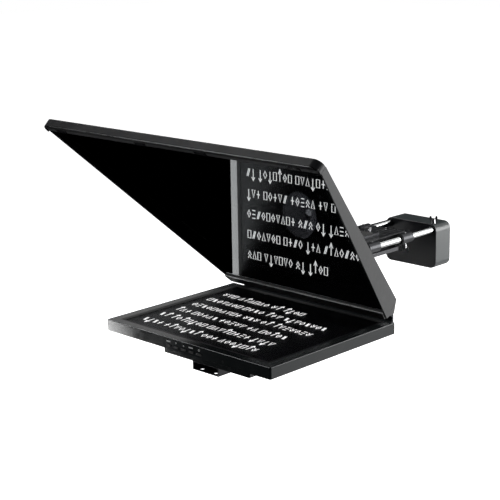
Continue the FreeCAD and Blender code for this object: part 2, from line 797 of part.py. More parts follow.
def make_rear_panel():
    """Flat back of the monitor with vent slots and a ribbon slot; returns its six screws."""
    half = d.monitor_width / 2 - d.monitor_wall - 0.2
    low = above(-d.monitor_rim)
    panel = new_body("rear_panel")
    pad(panel, "XY_Plane", low, 2, [rectangle(-half, half, front_edge(2.7), back(-2.7))])
    for side in (-1, 1):
        for i in range(9):
            y = back(-120 + 9.0 * i)
            slot = rectangle(150 * side - 22, 150 * side + 22, y, y + 3)
            pocket(panel, "XY_Plane", low, 2, [slot])
    pocket(panel, "XY_Plane", low, 2, [rectangle(-34, -2, back(-155), back(-145))])
    rows = (front_edge(35), front_edge(170), back(-35))
    places = [(203.0 * side, row, 1.5) for side in (-1, 1) for row in rows]
    pocket(panel, "XY_Plane", low, 2, circles=places)
    return [pan_screw(x, y, low, 1.5, 2) for x, y, _ in places]


def chassis_low():
    return above(-d.monitor_rim) - d.chassis_depth


BOARD_RISE = 8.0


def make_chassis():
    """Electronics box under the rear panel, with vents in its sides and sockets at the back."""
    wide, wall = d.chassis_half_width, 1.5
    low = chassis_low()
    front, rear = back(d.chassis_setback - d.monitor_depth), back(d.chassis_rear)
    box_body = new_body("chassis_box")
    pad(box_body, "XY_Plane", low, d.chassis_depth, [rectangle(-wide, wide, front, rear)])
    inside = rectangle(-wide + wall, wide - wall, front + wall, rear - wall)
    pocket(box_body, "XY_Plane", low + wall, d.chassis_depth - wall, [inside])
    round_edges(box_body, 3, lambda e: runs_along(e, Z_AXIS) and e.Length > 30
                and abs(e.CenterOfMass.x) > wide.value - 0.1)
    middle = low + 17
    for i in range(10):
        y = back(-200 + 11.0 * i)
        pocket(box_body, "YZ_Plane", -wide, wide * 2, [rectangle(y, y + 4, middle - 8, middle + 8)])
    threads = []
    for row in CHANNEL_SCREW_ROWS:
        threads += [(18.0 * side, front + row, 2.0) for side in (-1, 1)]
    pocket(box_body, "XY_Plane", low, wall, circles=threads)
    studs = [(x, front + row, 3.0) for x in (-95.0, -9.0, 13.0, 97.0) for row in (65.0, 185.0)]
    pad(box_body, "XY_Plane", low + wall - 0.2, BOARD_RISE + 0.2, circles=studs)
    openings = [(-70.0, 5.2), (-48.0, 5.2), (84.0, 5.0)]
    circles = [(x, middle, radius) for x, radius in openings]
    pocket(box_body, "XZ_Plane", rear - wall, wall, circles=circles)
    pocket(box_body, "XZ_Plane", rear - wall, wall,
           [rectangle(-28, 4, middle - 6, middle + 6)])

    sockets = []
    for x, radius in openings[:2]:
        barrel = cylinder(x, rear - 12, middle, radius, 21, "y")
        hole = cylinder(x, rear - 2, middle, radius - 1.4, 12, "y")
        socket = doc.addObject("Part::Cut", "socket")
        socket.Base = barrel
        socket.Tool = hole
        sockets.append(socket)
    video = doc.addObject("Part::Cut", "socket")
    video.Base = box(-28, rear - 10, middle - 6, 32, 14, 12)
    video.Tool = box(-24, rear - 4, middle - 4, 24, 9, 8)
    group("video_sockets", sockets + [video])
    inlet_x, inlet_radius = openings[2]
    inlet = cylinder(inlet_x, rear - 14, middle, inlet_radius, 16, "y")
    hole = cylinder(inlet_x, rear - 9, middle, 2.8, 12, "y")
    pin = cylinder(inlet_x, rear - 10, middle, 1.0, 10, "y")
    barrel = doc.addObject("Part::Cut", "barrel")
    barrel.Base = inlet
    barrel.Tool = hole
    fuse("power_inlet", [barrel, pin])


def make_boards():
    """Driver and power boards on their studs, and the keypad board behind the buttons."""
    floor = chassis_low() + 1.5
    level = floor + BOARD_RISE
    front = back(d.chassis_setback - d.monitor_depth)
    driver = [box(-100, front + 60, level, 96, 150, 1.6), box(-70, front + 90, level, 22, 22, 4),
              box(-40, front + 120, level, 14, 20, 3.5), box(-90, front + 180, level, 50, 14, 9)]
    fuse("driver_board", driver)
    power = [box(8, front + 60, level, 94, 130, 1.6), box(20, front + 80, level, 26, 30, 16),
             cylinder(70, front + 90, level, 7, 18), cylinder(70, front + 115, level, 7, 18),
             box(30, front + 140, level, 50, 5, 17)]
    fuse("power_board", power)
    keypad_front = front_edge(d.monitor_wall + 3.6)
    level = above(-d.button_drop)
    keys = [box(-52, keypad_front, level - 4.8, 160, 1.2, 12)]
    for i in range(len(BUTTONS)):
        keys.append(box(button_x(i) - 2.5, keypad_front - 1.2, level - 1.6, 5, 1.5, 3.2))
    fuse("keypad_board", keys)


def make_buttons():
    """Five push buttons and the status window on the monitor's front face."""
    proud, depth = 1.2, 4.0
    level = above(-d.button_drop)
    for i, name in enumerate(BUTTONS):
        body = new_body(name)
        reach, rise = d.button_width / 2, d.button_height / 2
        outline = rectangle(button_x(i) - reach, button_x(i) + reach, level - rise, level + rise)
        pad(body, "XZ_Plane", front_edge(-proud), depth, [outline])
        face = front_edge(-proud).value
        round_edges(body, 0.5, lambda e: e.BoundBox.YMax < face + 0.01)
    window = cylinder(d.window_offset, front_edge(-0.2), level, 1.95, 5.8, "y")
    add_part(window, "status_window")


# ---- hood -------------------------------------------------------------------------------------


def on_hood(body):
    """Puts a body in the hood's frame: X, up the slant, and out of the glass to the presenter."""
    body.Placement.Rotation = Rotation(X_AXIS, 180 - d.glass_tilt.value)
    bind(body, "Placement.Rotation.Angle", 180 - d.glass_tilt)
    body.Placement.Base = Vector(0, d.monitor_back.value, d.monitor_top.value)
    bind(body, "Placement.Base.y", d.monitor_back)
    bind(body, "Placement.Base.z", d.monitor_top)
    return body


def half_width(slant):
    """The frame's outer half width at a distance up the slant."""
    return d.frame_half_bottom + d.frame_slope * (slant - d.frame_foot)


def trapezoid(low, high, inset):
    """The frame's outline between two distances up the slant, narrowed by the inset."""
    x_low, x_high = half_width(low) - inset, half_width(high) - inset
    return [(-x_low, low), (x_low, low), (x_high, high), (-x_high, high)]


def make_rails():
    """Bottom ledge and top rail of the glass frame, with the strip and clips that hold it."""
    inside = d.web_thick + 0.2
    glass_back = d.glass_thick - d.glass_front
    bottom = on_hood(new_body("hood_bottom_rail"))
    depth = d.lip_front + 5
    pad(bottom, "XY_Plane", -5, depth, [trapezoid(d.frame_foot, d.frame_ledge, inside)])
    slot = rectangle(25, 60, -glass_back, d.glass_front)
    pocket(bottom, "YZ_Plane", -300, 600, [slot])
    lip = d.lip_front.value
    round_edges(bottom, 3.5, lambda e: runs_along(e, X_AXIS)
                and e.BoundBox.ZMax > lip - 0.01 and e.BoundBox.YMin > 30)
    round_edges(bottom, 3.0, lambda e: runs_along(e, X_AXIS) and e.BoundBox.YMax < 20)

    top = on_hood(new_body("hood_top_rail"))
    pad(top, "XY_Plane", -11, d.lip_front + 11, [trapezoid(d.frame_under_rail, d.frame_top, 0)])
    round_edges(top, d.frame_corner_radius, lambda e: runs_along(e, Z_AXIS)
                and e.CenterOfMass.y > d.frame_top.value - 1)
    round_edges(top, 2.0, lambda e: runs_along(e, X_AXIS)
                and e.CenterOfMass.y > d.frame_top.value - 1)
    rebate = trapezoid(d.frame_under_rail - 10, d.frame_under_rail + 12, inside)
    pocket(top, "XY_Plane", -glass_back, 20, [rebate])

    strip = on_hood(new_body("glass_strip"))
    low, high = d.frame_under_rail + 0.4, d.frame_under_rail + 11.7
    pad(strip, "XY_Plane", d.glass_front, 2.6, [trapezoid(low, high, inside + 0.4)])
    round_edges(strip, 1.0, lambda e: runs_along(e, X_AXIS) and e.BoundBox.ZMin > 4)

    clips = []
    for x in (-300.0, -77.0, 77.0, 290.0):
        clip = [box(x - 14, low + 1.6, d.glass_front + 2.6, 28, high - low - 3.2, 1.3)]
        middle = (low + high) / 2
        for side in (-1, 1):
            clip.append(cylinder(x + 9 * side, middle, d.glass_front + 3.4, 2.2, 1.4))
        clips.append(join(clip))
    on_hood(group("strip_clips", clips))


def make_beam_splitter():
    glass = on_hood(new_body("beam_splitter"))
    outline = trapezoid(dim(26), d.frame_under_rail + 9, d.web_thick + 0.5)
    pad(glass, "XY_Plane", d.glass_front - d.glass_thick, d.glass_thick, [outline])


def hood_point(x, slant, behind):
    """A point of the hood in the row's frame."""
    tilt = math.radians(d.glass_tilt.value)
    y = d.monitor_back.value - slant * math.cos(tilt) + behind * math.sin(tilt)
    z = d.monitor_top.value + slant * math.sin(tilt) + behind * math.cos(tilt)
    return Vector(x, y, z)


def web_point(slant, behind, inset=0.0):
    """A point on the right web's outer face, or that far inside it."""
    return hood_point(half_width(dim(slant)).value - inset, slant, behind)


def make_side_panels():
    """Tapered web on each side of the hood, with a lip behind the glass and a pivot boss."""
    under = d.frame_under_rail.value - 0.3
    thick = d.web_thick.value
    glass_back = (d.glass_thick - d.glass_front).value
    outline = [(d.frame_foot.value - 1, 3.5), (under, 3.5), (under, -11.0), (19.8, -38.2),
               (-1.1, -18.4), (13.0, -3.0)]
    corners = [web_point(s, -front) for s, front in outline]
    web = Part.Face(Part.makePolygon(corners + corners[:1])).extrude(Vector(-thick, 0, 0))
    lip_low = d.frame_ledge.value + 1
    lip = [web_point(lip_low, glass_back, thick), web_point(under, glass_back, thick),
           web_point(under, glass_back, thick + 11), web_point(lip_low, glass_back, thick + 11)]
    behind = hood_point(0, 0, 2.5) - hood_point(0, 0, 0)
    web = web.fuse(Part.Face(Part.makePolygon(lip + lip[:1])).extrude(behind))
    pivot = Vector(0, back(d.pivot_back).value, above(d.pivot_up).value)
    boss_from = d.hinge_half_span.value + 2
    boss_to = d.frame_half_bottom.value + 1
    boss_radius = 9.0
    boss = Part.makeCylinder(boss_radius, boss_to - boss_from,
                             pivot + Vector(boss_from, 0, 0), X_AXIS)
    hole = Part.makeCylinder(d.pivot_radius.value + d.running_gap.value,
                             boss_to - boss_from - 1.2, pivot + Vector(boss_from, 0, 0), X_AXIS)
    right = web.fuse(boss).cut(hole).removeSplitter()
    left = right.mirror(Vector(), X_AXIS)
    solid("hood_side_right", right)
    solid("hood_side_left", left)


FLOOR_LOW, FLOOR_THICK, FLOOR_BACK = 41.6, 1.6, 36.0


def make_hood_floor():
    """Plate that closes the hood behind the bottom ledge."""
    floor = on_hood(new_body("hood_floor"))
    inset = d.web_thick + 0.2
    outline = trapezoid(dim(FLOOR_LOW), dim(FLOOR_LOW + FLOOR_THICK), inset + 11.2)
    pad(floor, "XY_Plane", -5, 4.1, [outline])
    outline = trapezoid(dim(FLOOR_LOW), dim(FLOOR_LOW + FLOOR_THICK), inset)
    pad(floor, "XY_Plane", -FLOOR_BACK, FLOOR_BACK - 5, [outline])


def rounded_loop(corners, radius):
    """A closed wire through four corners of a flat figure, with its corners rounded."""
    edges = []
    starts = []
    for i, corner in enumerate(corners):
        before = (corners[i - 1] - corner).normalize()
        after = (corners[(i + 1) % 4] - corner).normalize()
        half_turn = before.getAngle(after) / 2
        trim = radius / math.tan(half_turn)
        middle = (before + after).normalize() * (radius / math.sin(half_turn) - radius)
        starts.append((corner + before * trim, corner + middle, corner + after * trim))
    for i, (first, middle, last) in enumerate(starts):
        edges.append(Part.Arc(first, middle, last).toShape())
        edges.append(Part.LineSegment(last, starts[(i + 1) % 4][0]).toShape())
    return Part.Wire(edges)


def shell_loft(front_insets, rear_insets, radii, overrun, flange):
    """The solid from the frame's back outline to the lens plate. Insets: side, low and high."""
    side_in, low_in, high_in = front_insets
    low = FLOOR_LOW + FLOOR_THICK + 0.3 + low_in
    high = d.frame_under_rail.value - 1.0 - high_in
    behind_low, behind_high = 33.0, 8.0
    front = []
    for side, slant in ((-1, low), (1, low), (1, high), (-1, high)):
        rise = (slant - FLOOR_LOW) / (d.frame_under_rail.value - FLOOR_LOW)
        behind = behind_low + (behind_high - behind_low) * rise
        x = half_width(dim(slant)).value - d.web_thick.value - 0.3 - side_in
        front.append(hood_point(side * x, slant, behind))
    side_in, low_in, high_in = rear_insets
    half = d.lens_plate_half.value
    y = back(d.lens_back).value - flange
    z = above(d.lens_level).value
    wide, low, high = half - side_in, z - half + low_in, z + half - high_in
    rear = [Vector(-wide, y, low), Vector(wide, y, low), Vector(wide, y, high),
            Vector(-wide, y, high)]
    front = [a + (a - b) * overrun for a, b in zip(front, rear)]
    wires = [rounded_loop(front, radii[0]), rounded_loop(rear, radii[1])]
    return Part.makeLoft(wires, True, True)


def make_hood_shell():
    """Moulded shell that tapers from the glass frame to the lens plate."""
    flange = 2.5
    outside = shell_loft((0.0, 0.0, 0.0), (0.0, 0.0, 0.0), (10.0, 14.0), 0.0, 0.0)
    inside = shell_loft((5.3, 4.7, 5.0), (5.3, 1.7, 1.3), (8.0, 10.0), 0.02, flange)
    y = back(d.lens_back).value - flange - 1
    z = above(d.lens_level).value
    corners = [Vector(side * 49, y, z + rise * 53) for side, rise in
               ((-1, -1), (1, -1), (1, 1), (-1, 1))]
    window = Part.Face(rounded_loop(corners, 12)).extrude(Vector(0, flange + 2, 0))
    solid("hood_shell", outside.cut(inside).cut(window))


def make_lens_end():
    """Lens plate, the ring that clamps the sleeve, its screws and the fabric sleeve."""
    level = above(d.lens_level)
    start = back(d.lens_back)
    half = d.lens_plate_half
    plate = new_body("lens_plate")
    pad(plate, "XZ_Plane", start, 3, [rectangle(-half, half, level - half, level + half)],
        [(0, level, d.lens_radius)])
    round_edges(plate, 14, lambda e: runs_along(e, Y_AXIS) and abs(e.CenterOfMass.x) > 50)
    ring = new_body("lens_ring")
    rings = [(0, level, d.lens_radius + 7.5), (0, level, d.lens_radius)]
    pad(ring, "XZ_Plane", start + 3, 3, circles=rings)
    screws = []
    for i in range(6):
        angle = math.radians(30 + 60 * i)
        x = (d.lens_radius + 4.6) * math.cos(angle)
        z = level + (d.lens_radius + 4.6) * math.sin(angle)
        screws.append(cylinder(x, start + 6, z, 2.2, 1.6, "y"))
    group("lens_ring_screws", screws)
    wide = doc.addObject("Part::Cone", "sleeve")
    narrow = doc.addObject("Part::Cone", "sleeve")
    for cone, wall in ((wide, 0.0), (narrow, 2.0)):
        bind(cone, "Radius1", d.lens_radius + 1.6 - wall)
        bind(cone, "Radius2", d.lens_radius - 8 - wall)
        bind(cone, "Height", 34)
        cone.Placement.Rotation = Rotation(X_AXIS, -90)
        at(cone, 0, start + 6, level)
    cut("lens_sleeve", wide, [narrow])


# ---- counterweight ----------------------------------------------------------------------------


def weight_outline(body, start, length, inset, holes):
    """A rounded rectangle of the counterweight's section, with round holes for the rods."""
    wide = d.weight_half_width - inset
    low, high = d.weight_top - d.weight_height + inset, d.weight_top - inset
    circles = [(d.rod_offset * side, d.rod_level, holes) for side in (-1, 1)] if holes else []
    pad(body, "XZ_Plane", start, length, [rectangle(-wide, wide, low, high)])
    round_edges(body, d.weight_corner - inset, lambda e: runs_along(e, Y_AXIS)
                and abs(e.CenterOfMass.x) > wide.value - 0.1)
    if circles:
        pocket(body, "XZ_Plane", start, length, circles=circles)


def make_counterweight():
    """Cast block that holds steel slabs, closed by front and rear covers, with its wing screw."""
    cover = d.weight_cover
    inner = d.weight_length - cover * 2
    rod_clear = d.rod_dia / 2 + d.running_gap
    start = d.weight_front + cover
    case = new_body("weight_case")
    weight_outline(case, start, inner, 0, rod_clear)
    low = d.weight_top - d.weight_height
    cavity = [(-58, low + 9), (58, low + 9), (58, 6), (38, 10), (38, 25), (-38, 25), (-38, 10),
              (-58, 6)]
    pocket(case, "XZ_Plane", start + 4, inner - 8, [cavity])
    lid = [rectangle(-59.5, 59.5, low + 7.5, dim(7))]
    pocket(case, "XZ_Plane", start + inner - 4, 4, lid)
    wing_y = d.weight_front + 9
    pocket(case, "XY_Plane", d.rod_level, d.weight_top - d.rod_level,
           circles=[(d.rod_offset - 1.5, wing_y, 2.6)])
    for name, begin in (("weight_front_cover", d.weight_front),
                        ("weight_rear_cover", d.weight_front + cover + inner)):
        body = new_body(name)
        weight_outline(body, begin, cover, 0, rod_clear + 0.5)
        edge_y = d.weight_front.value
        if name == "weight_rear_cover":
            edge_y = (d.weight_front + d.weight_length).value
        round_edges(body, 1.2, lambda e: abs(e.CenterOfMass.y - edge_y) < 0.01
                    and e.BoundBox.YLength < 0.01 and not is_small_circle(e))
    slabs = []
    count = 3
    slab_thick = (inner - 8) / count
    for i in range(count):
        slabs.append(box(-57, start + 4 + slab_thick * i, low + 9.5, 114, slab_thick, -low - 4))
    group("weight_slabs", slabs)
    rear = d.weight_front + d.weight_length
    screws = [cylinder(x, rear, z, 3.2, 2.0, "y") for x, z in
              ((-52.0, low + 13), (52.0, low + 13), (-28.0, low + 84), (28.0, low + 84))]
    group("weight_screws", screws)
    reach = d.weight_top - d.rod_level - rod_clear
    wing_screw("weight_wing", d.rod_offset - 1.5, wing_y, d.weight_top + d.free_gap, 1,
               2.5, reach)


def is_small_circle(edge):
    return isinstance(edge.Curve, Part.Circle) and edge.Curve.Radius < 9


# ---- build, check and write -------------------------------------------------------------------


def check_model():
    """Stops if any object failed or any sub-part has no sound shape."""
    for obj in doc.Objects:
        if "Invalid" in obj.State or "Error" in obj.State:
            raise RuntimeError(f"{obj.Name} failed: {obj.State}")
    for label, obj in parts.items():
        if obj.Shape.isNull() or not obj.Shape.isValid() or obj.Shape.Volume <= 0:
            raise RuntimeError(f"{label} has no sound shape")


def write_parts():
    os.makedirs("parts", exist_ok=True)
    for old in os.listdir("parts"):
        os.remove(os.path.join("parts", old))
    for label, obj in parts.items():
        obj.Shape.exportStep(f"parts/{label}.step")


make_base_plate()
make_platform()
make_rod_bracket("front_rod_bracket", d.front_bracket_front)
make_rod_bracket("rear_rod_bracket", d.rear_bracket_front)
make_bushes()
make_base_fasteners()
make_clamp_wings()
make_camera_slide()
make_rods()
make_riser()
make_hinge_bracket()
channel_screws = make_channel()
make_bezel()
make_screen()
panel_screws = make_rear_panel()
group("pan_screws", channel_screws + panel_screws)
make_chassis()
make_boards()
make_buttons()
make_rails()
make_beam_splitter()
make_side_panels()
make_hood_floor()
make_hood_shell()
make_lens_end()
make_counterweight()
doc.recompute()
check_model()
write_parts()
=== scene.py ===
import json
import math
import random

import bmesh
import bpy
from mathutils import Matrix, Vector


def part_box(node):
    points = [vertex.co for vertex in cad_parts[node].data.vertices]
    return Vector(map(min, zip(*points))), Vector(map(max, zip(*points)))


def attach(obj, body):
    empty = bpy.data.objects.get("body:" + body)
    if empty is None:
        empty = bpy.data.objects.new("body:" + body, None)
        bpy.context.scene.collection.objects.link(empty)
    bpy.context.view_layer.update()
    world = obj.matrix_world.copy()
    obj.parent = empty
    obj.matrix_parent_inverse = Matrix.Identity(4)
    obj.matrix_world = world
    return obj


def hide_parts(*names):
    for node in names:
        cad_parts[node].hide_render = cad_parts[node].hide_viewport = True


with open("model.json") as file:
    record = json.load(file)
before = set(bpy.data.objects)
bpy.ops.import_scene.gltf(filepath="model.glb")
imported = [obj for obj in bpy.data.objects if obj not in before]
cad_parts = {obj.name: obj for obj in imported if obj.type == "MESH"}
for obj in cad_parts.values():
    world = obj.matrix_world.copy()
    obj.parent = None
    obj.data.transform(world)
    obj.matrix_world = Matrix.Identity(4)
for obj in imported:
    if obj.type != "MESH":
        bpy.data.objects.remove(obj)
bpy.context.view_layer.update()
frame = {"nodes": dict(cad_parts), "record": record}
NODES = frame["nodes"]


# ---- shader helpers ---------------------------------------------------------------------------


class Tree:
    """A material's node tree with short calls to add and link nodes."""

    def __init__(self, name):
        self.material = bpy.data.materials.new(name)
        self.material.use_nodes = True
        self.nodes = self.material.node_tree.nodes
        self.links = self.material.node_tree.links
        self.nodes.clear()
        self.output = self.add("ShaderNodeOutputMaterial")
        self.coords = self.add("ShaderNodeTexCoord").outputs["Object"]

    def add(self, kind, **values):
        node = self.nodes.new(kind)
        for key, value in values.items():
            setattr(node, key, value)
        return node

    def link(self, source, target):
        self.links.new(source, target)

    def scaled(self, scale):
        """Object coordinates in metres, stretched by a scale along each axis."""
        mapping = self.add("ShaderNodeMapping")
        mapping.inputs["Scale"].default_value = scale
        self.link(self.coords, mapping.inputs["Vector"])
        return mapping.outputs["Vector"]

    def noise(self, scale, detail=3.0, roughness=0.55, vector=None):
        node = self.add("ShaderNodeTexNoise")
        node.inputs["Scale"].default_value = scale
        node.inputs["Detail"].default_value = detail
        node.inputs["Roughness"].default_value = roughness
        self.link(vector or self.coords, node.inputs["Vector"])
        return node.outputs["Fac"]

    def remap(self, value, low, high, to_low, to_high):
        node = self.add("ShaderNodeMapRange")
        node.inputs["From Min"].default_value = low
        node.inputs["From Max"].default_value = high
        node.inputs["To Min"].default_value = to_low
        node.inputs["To Max"].default_value = to_high
        self.link(value, node.inputs["Value"])
        return node.outputs["Result"]

    def math(self, operation, a, b):
        node = self.add("ShaderNodeMath", operation=operation)
        for socket, value in zip(node.inputs, (a, b)):
            if isinstance(value, (int, float)):
                socket.default_value = value
            else:
                self.link(value, socket)
        return node.outputs[0]

    def mix(self, factor, a, b):
        """Two colours, each a tuple or a socket, mixed by a factor."""
        node = self.add("ShaderNodeMix", data_type="RGBA")
        self.link(factor, node.inputs[0])
        for socket, value in ((node.inputs[6], a), (node.inputs[7], b)):
            if isinstance(value, tuple):
                socket.default_value = (*value, 1.0)
            else:
                self.link(value, socket)
        return node.outputs[2]

    def bump(self, height, strength, distance):
        node = self.add("ShaderNodeBump")
        node.inputs["Strength"].default_value = strength
        node.inputs["Distance"].default_value = distance
        self.link(height, node.inputs["Height"])
        return node.outputs["Normal"]

    def edges(self, radius):
        """About 1 on the sharp outside edges and 0 on flat faces."""
        bevel = self.add("ShaderNodeBevel", samples=4)
        bevel.inputs["Radius"].default_value = radius
        geometry = self.add("ShaderNodeNewGeometry")
        dot = self.add("ShaderNodeVectorMath", operation="DOT_PRODUCT")
        self.link(bevel.outputs["Normal"], dot.inputs[0])
        self.link(geometry.outputs["True Normal"], dot.inputs[1])
        return self.remap(dot.outputs["Value"], 0.995, 0.85, 0.0, 1.0)

    def principled(self, metallic=0.0, **sockets):
        shader = self.add("ShaderNodeBsdfPrincipled")
        shader.inputs["Metallic"].default_value = metallic
        for name, value in sockets.items():
            shader.inputs[name.replace("_", " ")].default_value = value
        self.link(shader.outputs["BSDF"], self.output.inputs["Surface"])
        return shader


WORN = (0.35, 0.35, 0.36)


def coated(name, colour, rough, metallic=0.0, grain=0.0007, depth=0.00004, wear=0.0,
           stretch=(1, 1, 1), **sockets):
    """Paint, anodising or moulded plastic: fine grain, soft smudges and worn edges."""
    tree = Tree(name)
    shader = tree.principled(metallic, **sockets)
    grain_noise = tree.noise(1.0 / grain, 2.0, vector=tree.scaled(stretch))
    cloud = tree.noise(14.0, 5.0, 0.6)
    fine_cloud = tree.noise(90.0, 4.0, 0.65)
    dark = tuple(0.82 * c for c in colour)
    light = tuple(min(1.0, 1.18 * c + 0.002) for c in colour)
    base = tree.mix(tree.remap(cloud, 0.3, 0.7, 0.0, 1.0), dark, light)
    base = tree.mix(tree.remap(grain_noise, 0.35, 0.65, 0.0, 0.35), base, light)
    if wear:
        rubbed = tree.remap(fine_cloud, 0.42, 0.62, 0, wear)
        base = tree.mix(tree.math("MULTIPLY", tree.edges(0.0009), rubbed), base, WORN)
    tree.link(base, shader.inputs["Base Color"])
    patches = tree.remap(cloud, 0.25, 0.75, rough - 0.05, rough + 0.05)
    specks = tree.remap(fine_cloud, 0.3, 0.7, -0.03, 0.03)
    tree.link(tree.math("ADD", patches, specks), shader.inputs["Roughness"])
    tree.link(tree.bump(grain_noise, 0.6, depth), shader.inputs["Normal"])
    return tree.material


def bare_metal(name, colour, rough, lines=(1, 1, 1), line_scale=2500.0, contrast=0.15):
    """Polished or machined metal with machining lines, light staining and faint scratches; at a
    high contrast the lines become dark streaks, painted reflection streaks over the real lines.
    """
    tree = Tree(name)
    shader = tree.principled(1.0)
    drawn_lines_and_reflection_streaks = tree.noise(line_scale, 3.0, 0.7, tree.scaled(lines))
    stain = tree.noise(30.0, 5.0, 0.6)
    dark = tuple(0.78 * c for c in colour)
    base = tree.mix(tree.remap(stain, 0.3, 0.75, 0.0, 0.5), colour, dark)
    deep = tuple(0.35 * c for c in colour)
    # dark lines in the colour: real machining lines, and at a high contrast (the rods) painted
    # reflection streaks
    base = tree.mix(tree.remap(drawn_lines_and_reflection_streaks, 0.52, 0.66, 0.0, contrast), base, deep)
    tree.link(base, shader.inputs["Base Color"])
    patches = tree.remap(stain, 0.25, 0.75, rough * 0.75, rough * 1.35)
    streaks = tree.remap(drawn_lines_and_reflection_streaks, 0.3, 0.7, -0.25 * rough, 0.25 * rough)
    tree.link(tree.math("ADD", patches, streaks), shader.inputs["Roughness"])
    tree.link(tree.bump(drawn_lines_and_reflection_streaks, 0.5, 0.00002), shader.inputs["Normal"])
    return tree.material


def front_reflection(tree, through, shine, share):
    """Lays a share of reflection over clear glass, on its outward side only."""
    geometry = tree.add("ShaderNodeNewGeometry")
    outside = tree.math("SUBTRACT", 1.0, geometry.outputs["Backfacing"])
    mixed = tree.add("ShaderNodeMixShader")
    tree.link(tree.math("MULTIPLY", share, outside), mixed.inputs["Fac"])
    tree.link(through.outputs["BSDF"], mixed.inputs[1])
    tree.link(shine.outputs["BSDF"], mixed.inputs[2])
    tree.link(mixed.outputs["Shader"], tree.output.inputs["Surface"])
    return tree.material


def beam_splitter_material():
    """Coated glass: it mirrors the bright screen and is dark where it looks into the hood."""
    tree = Tree("splitter_glass")
    through = tree.add("ShaderNodeBsdfTransparent")
    through.inputs["Color"].default_value = (0.40, 0.41, 0.43, 1.0)
    mirror = tree.add("ShaderNodeBsdfGlossy")
    smear = tree.noise(9.0, 4.0, 0.6)
    tree.link(tree.remap(smear, 0.45, 0.85, 0.0, 0.003), mirror.inputs["Roughness"])
    tree.link(tree.mix(tree.remap(smear, 0.3, 0.7, 0, 1), (0.86, 0.89, 0.90), (0.92, 0.94, 0.95)),
              mirror.inputs["Color"])
    facing = tree.add("ShaderNodeFresnel")
    facing.inputs["IOR"].default_value = 1.52
    share = tree.remap(facing.outputs["Fac"], 0.04, 1.0, 0.60, 1.0)
    return front_reflection(tree, through, mirror, share)


def screen_material():
    """Anti-glare cover glass: mostly clear, with a weak hazy reflection."""
    tree = Tree("screen")
    through = tree.add("ShaderNodeBsdfTransparent")
    through.inputs["Color"].default_value = (0.93, 0.93, 0.94, 1.0)
    haze = tree.add("ShaderNodeBsdfGlossy")
    haze.inputs["Color"].default_value = (0.9, 0.94, 0.95, 1.0)
    wipe = tree.noise(12.0, 4.0, 0.6)
    tree.link(tree.remap(wipe, 0.3, 0.7, 0.20, 0.27), haze.inputs["Roughness"])
    tree.link(tree.bump(wipe, 0.05, 0.0002), haze.inputs["Normal"])
    facing = tree.add("ShaderNodeFresnel")
    facing.inputs["IOR"].default_value = 1.35
    share = tree.math("MULTIPLY", facing.outputs["Fac"], 0.16)
    return front_reflection(tree, through, haze, share)


def glowing(name, colour, strength):
    """Lit pixels: an emitter with slightly uneven backlight and no gloss of its own."""
    tree = Tree(name)
    shader = tree.principled(0.0, Emission_Strength=strength, Roughness=0.9, Specular_IOR_Level=0.0)
    backlight = tree.noise(25.0, 3.0)
    fine = tree.noise(1800.0, 1.0)
    dim = tuple(0.90 * c for c in colour)
    glow = tree.mix(tree.remap(backlight, 0.35, 0.65, 0.0, 1.0), dim, colour)
    tree.link(glow, shader.inputs["Emission Color"])
    tree.link(tree.remap(fine, 0.3, 0.7, 0.85, 0.95), shader.inputs["Roughness"])
    dark = (0.006, 0.006, 0.006)
    tree.link(tree.mix(fine, dark, (0.010, 0.010, 0.010)), shader.inputs["Base Color"])
    return tree.material


def woven(name, colour, thread, thin):
    """Stretch cloth: crossed threads, fuzz, a soft sheen and some light coming through."""
    tree = Tree(name)
    shader = tree.principled(0.0, Sheen_Weight=0.45, Sheen_Roughness=0.5)
    glow = tree.add("ShaderNodeBsdfTranslucent")
    glow.inputs["Color"].default_value = (*thin, 1.0)
    both = tree.add("ShaderNodeMixShader")
    both.inputs["Fac"].default_value = 0.5
    tree.link(shader.outputs["BSDF"], both.inputs[1])
    tree.link(glow.outputs["BSDF"], both.inputs[2])
    tree.link(both.outputs["Shader"], tree.output.inputs["Surface"])
    threads = []
    for scale in ((1 / thread, 0.0, 0.4 / thread), (0.0, 1 / thread, 0.4 / thread)):
        wave = tree.add("ShaderNodeTexWave", bands_direction="DIAGONAL")
        wave.inputs["Scale"].default_value = 0.5
        wave.inputs["Distortion"].default_value = 0.8
        tree.link(tree.scaled(scale), wave.inputs["Vector"])
        threads.append(wave.outputs["Fac"])
    weave = tree.math("MAXIMUM", *threads)
    fuzz = tree.noise(900.0, 3.0)
    dark = tuple(0.45 * c for c in colour)
    lit = tree.mix(tree.math("MULTIPLY", weave, fuzz), dark, colour)
    tree.link(lit, shader.inputs["Base Color"])
    tree.link(tree.remap(fuzz, 0.3, 0.7, 0.78, 0.95), shader.inputs["Roughness"])
    tree.link(tree.bump(weave, 0.7, thread * 0.3), shader.inputs["Normal"])
    return tree.material


def circuit_board(name):
    """Green solder mask with copper tracks under it and pale pads."""
    tree = Tree(name)
    shader = tree.principled(0.0, Coat_Weight=0.4, Coat_Roughness=0.15)
    tracks = tree.add("ShaderNodeTexBrick", offset=0.5)
    tracks.inputs["Scale"].default_value = 160.0
    tracks.inputs["Mortar Size"].default_value = 0.12
    tree.link(tree.coords, tracks.inputs["Vector"])
    pads = tree.add("ShaderNodeTexVoronoi")
    pads.inputs["Scale"].default_value = 220.0
    tree.link(tree.coords, pads.inputs["Vector"])
    base = tree.mix(tracks.outputs["Fac"], (0.008, 0.07, 0.03), (0.02, 0.16, 0.07))
    base = tree.mix(tree.remap(pads.outputs["Distance"], 0.16, 0.12, 0, 1), base, (0.6, 0.6, 0.58))
    tree.link(base, shader.inputs["Base Color"])
    tree.link(tree.remap(pads.outputs["Distance"], 0.1, 0.5, 0.3, 0.5), shader.inputs["Roughness"])
    tree.link(tree.bump(tracks.outputs["Fac"], 0.4, 0.00003), shader.inputs["Normal"])
    return tree.material


# ---- materials --------------------------------------------------------------------------------

